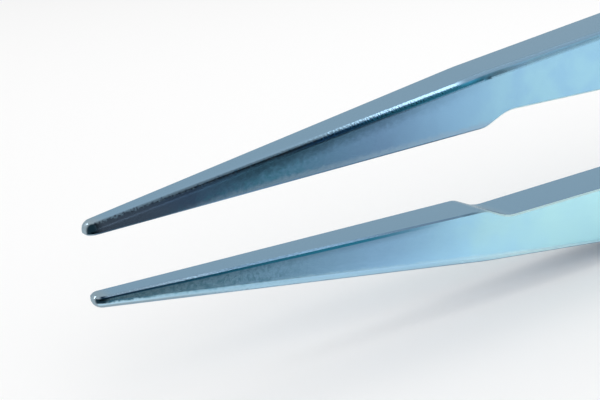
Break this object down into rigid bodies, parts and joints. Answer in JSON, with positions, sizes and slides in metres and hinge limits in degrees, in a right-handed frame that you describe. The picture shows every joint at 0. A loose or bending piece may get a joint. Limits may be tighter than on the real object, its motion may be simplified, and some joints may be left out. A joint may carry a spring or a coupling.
{
  "type": "thumb forceps",
  "caption": "Fine straight thumb forceps with tapered smooth tips, a stepped inner relief, flat fluted grips and sprung arms joined at the heel.",
  "frame": {"origin": "middle of the footprint, on the surface that the forceps lie on, under the lower arm's grip face", "axes": "+X from the tips towards the heel, +Z from the lower arm to the upper arm, Y across the width"},
  "size_m": [0.12, 0.009, 0.015],
  "materials": {
    "anodised_titanium": "satin, blue-anodised titanium"
  },
  "bodies": {
    "root": {"upper_arm": "anodised_titanium", "lower_arm": "anodised_titanium"}
  },
  "joints": []
}
